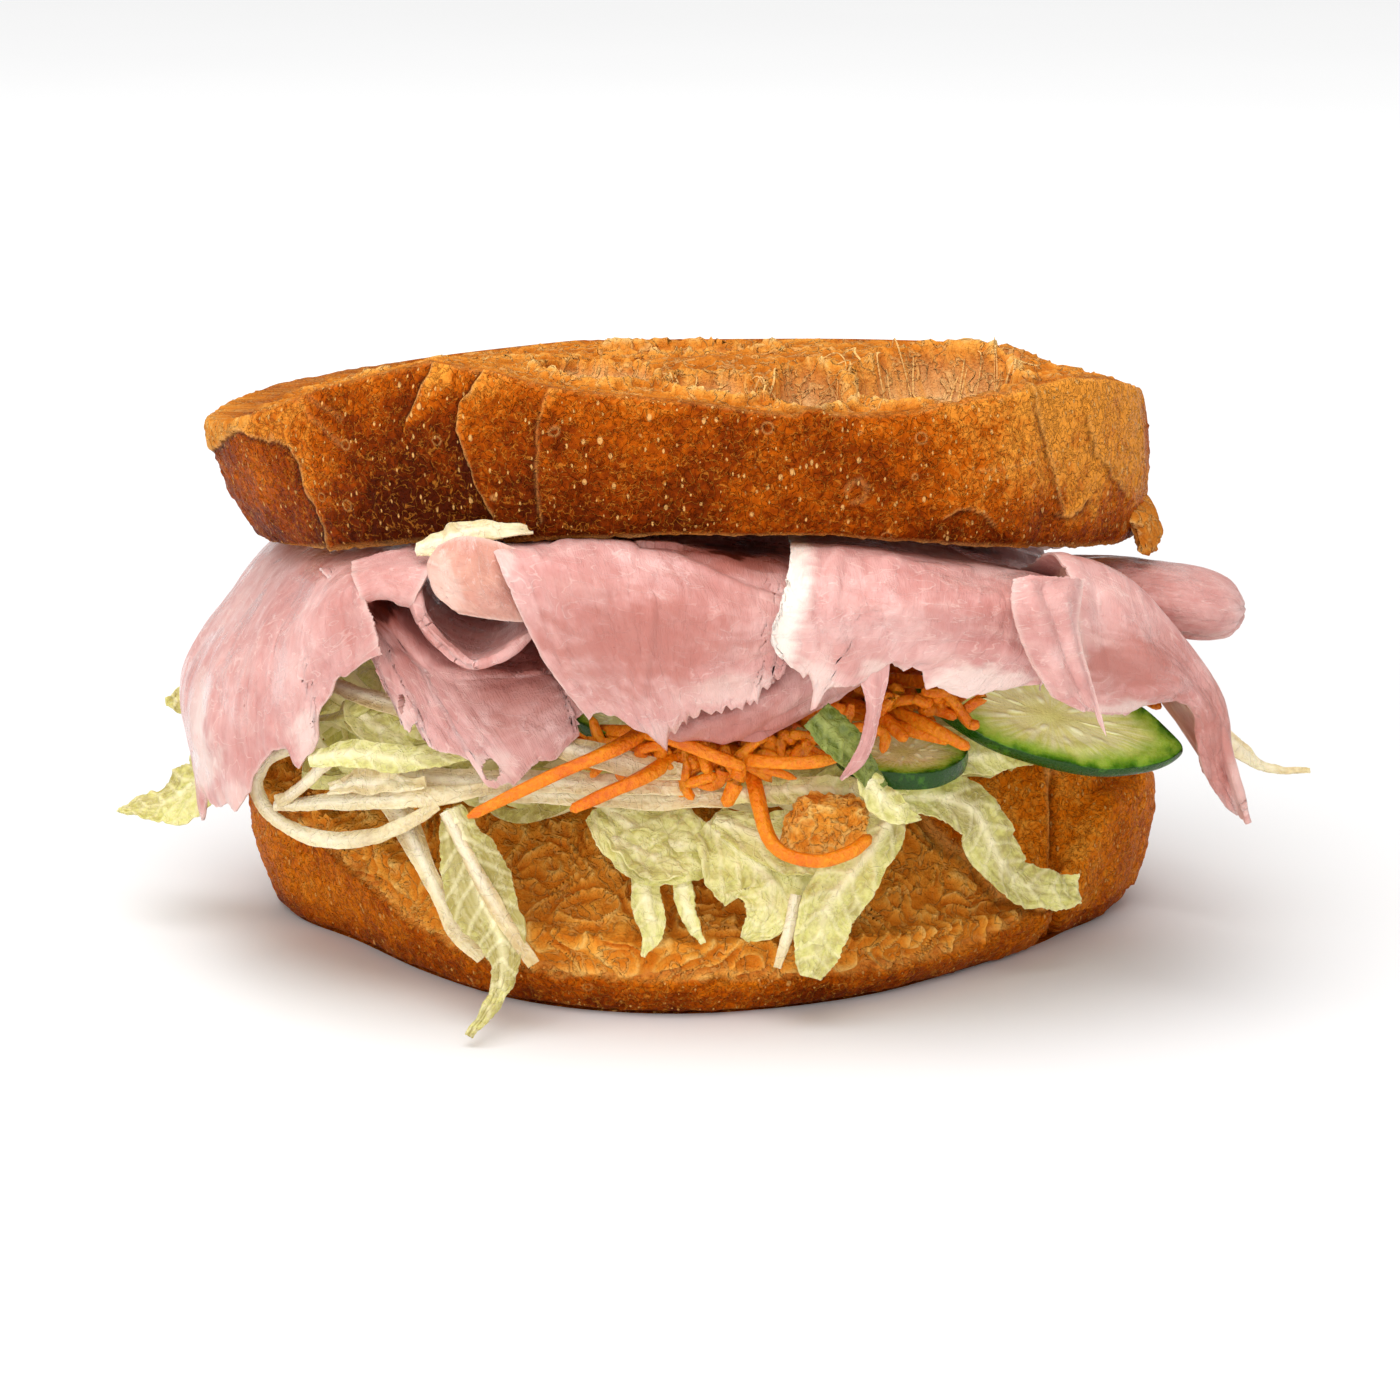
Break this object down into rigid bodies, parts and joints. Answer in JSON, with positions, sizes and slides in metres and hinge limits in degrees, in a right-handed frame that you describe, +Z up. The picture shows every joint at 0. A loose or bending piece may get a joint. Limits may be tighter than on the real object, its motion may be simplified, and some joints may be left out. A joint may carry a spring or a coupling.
{
  "type": "smoked ham sandwich",
  "caption": "Sandwich of two thick crusty white bread slices round draped smoked ham, grated carrot, cucumber and shredded lettuce.",
  "frame": {"origin": "on the table, in the middle of the bottom slice's flat lower face", "axes": "+X along the sandwich's length to the viewer's right, +Y from the front to the back, +Z up"},
  "size_m": [0.1782, 0.1226, 0.0906],
  "materials": {
    "crust": "baked bread crust and toasted crumb, satin",
    "crumb": "toasted crumb, matt",
    "ham": "moist smoked ham, soft sheen",
    "lettuce": "fresh pale green leaf, soft sheen",
    "lettuce_rib": "pale translucent leaf rib",
    "dark_leaf": "dark green leaf, soft sheen",
    "carrot": "grated carrot, moist",
    "cucumber": "wet cucumber flesh with dark green skin"
  },
  "bodies": {
    "root": {"bread_bottom": "crust", "bread_scrap": "crumb", "bread_top": "crust", "carrot_heap": "carrot", "cucumber_front": "cucumber", "cucumber_left": "cucumber", "cucumber_right": "cucumber", "ham_center": "ham", "ham_center_fold": "ham", "ham_inner": "ham", "ham_left": "ham", "ham_pocket": "ham", "ham_right": "ham", "ham_right_flap": "ham", "ham_roll": "ham", "ham_strip": "ham", "ham_tail": "ham", "ham_top_slice": "ham", "ham_turned_end": "ham", "lettuce_band": "lettuce", "lettuce_bed": "lettuce", "lettuce_dark_leaf": "dark_leaf", "lettuce_frill": "lettuce", "lettuce_left_leaf": "lettuce", "lettuce_long_leaf": "lettuce", "lettuce_loop": "lettuce_rib", "lettuce_low_strip": "lettuce_rib", "lettuce_mid_leaf": "lettuce", "lettuce_rib_mid": "lettuce_rib", "lettuce_rib_strip": "lettuce_rib", "lettuce_right_leaf": "lettuce", "lettuce_side_leaf": "lettuce", "lettuce_tendril": "lettuce_rib", "lettuce_top_bits": "lettuce", "lettuce_wisp": "lettuce_rib"}
  },
  "joints": []
}
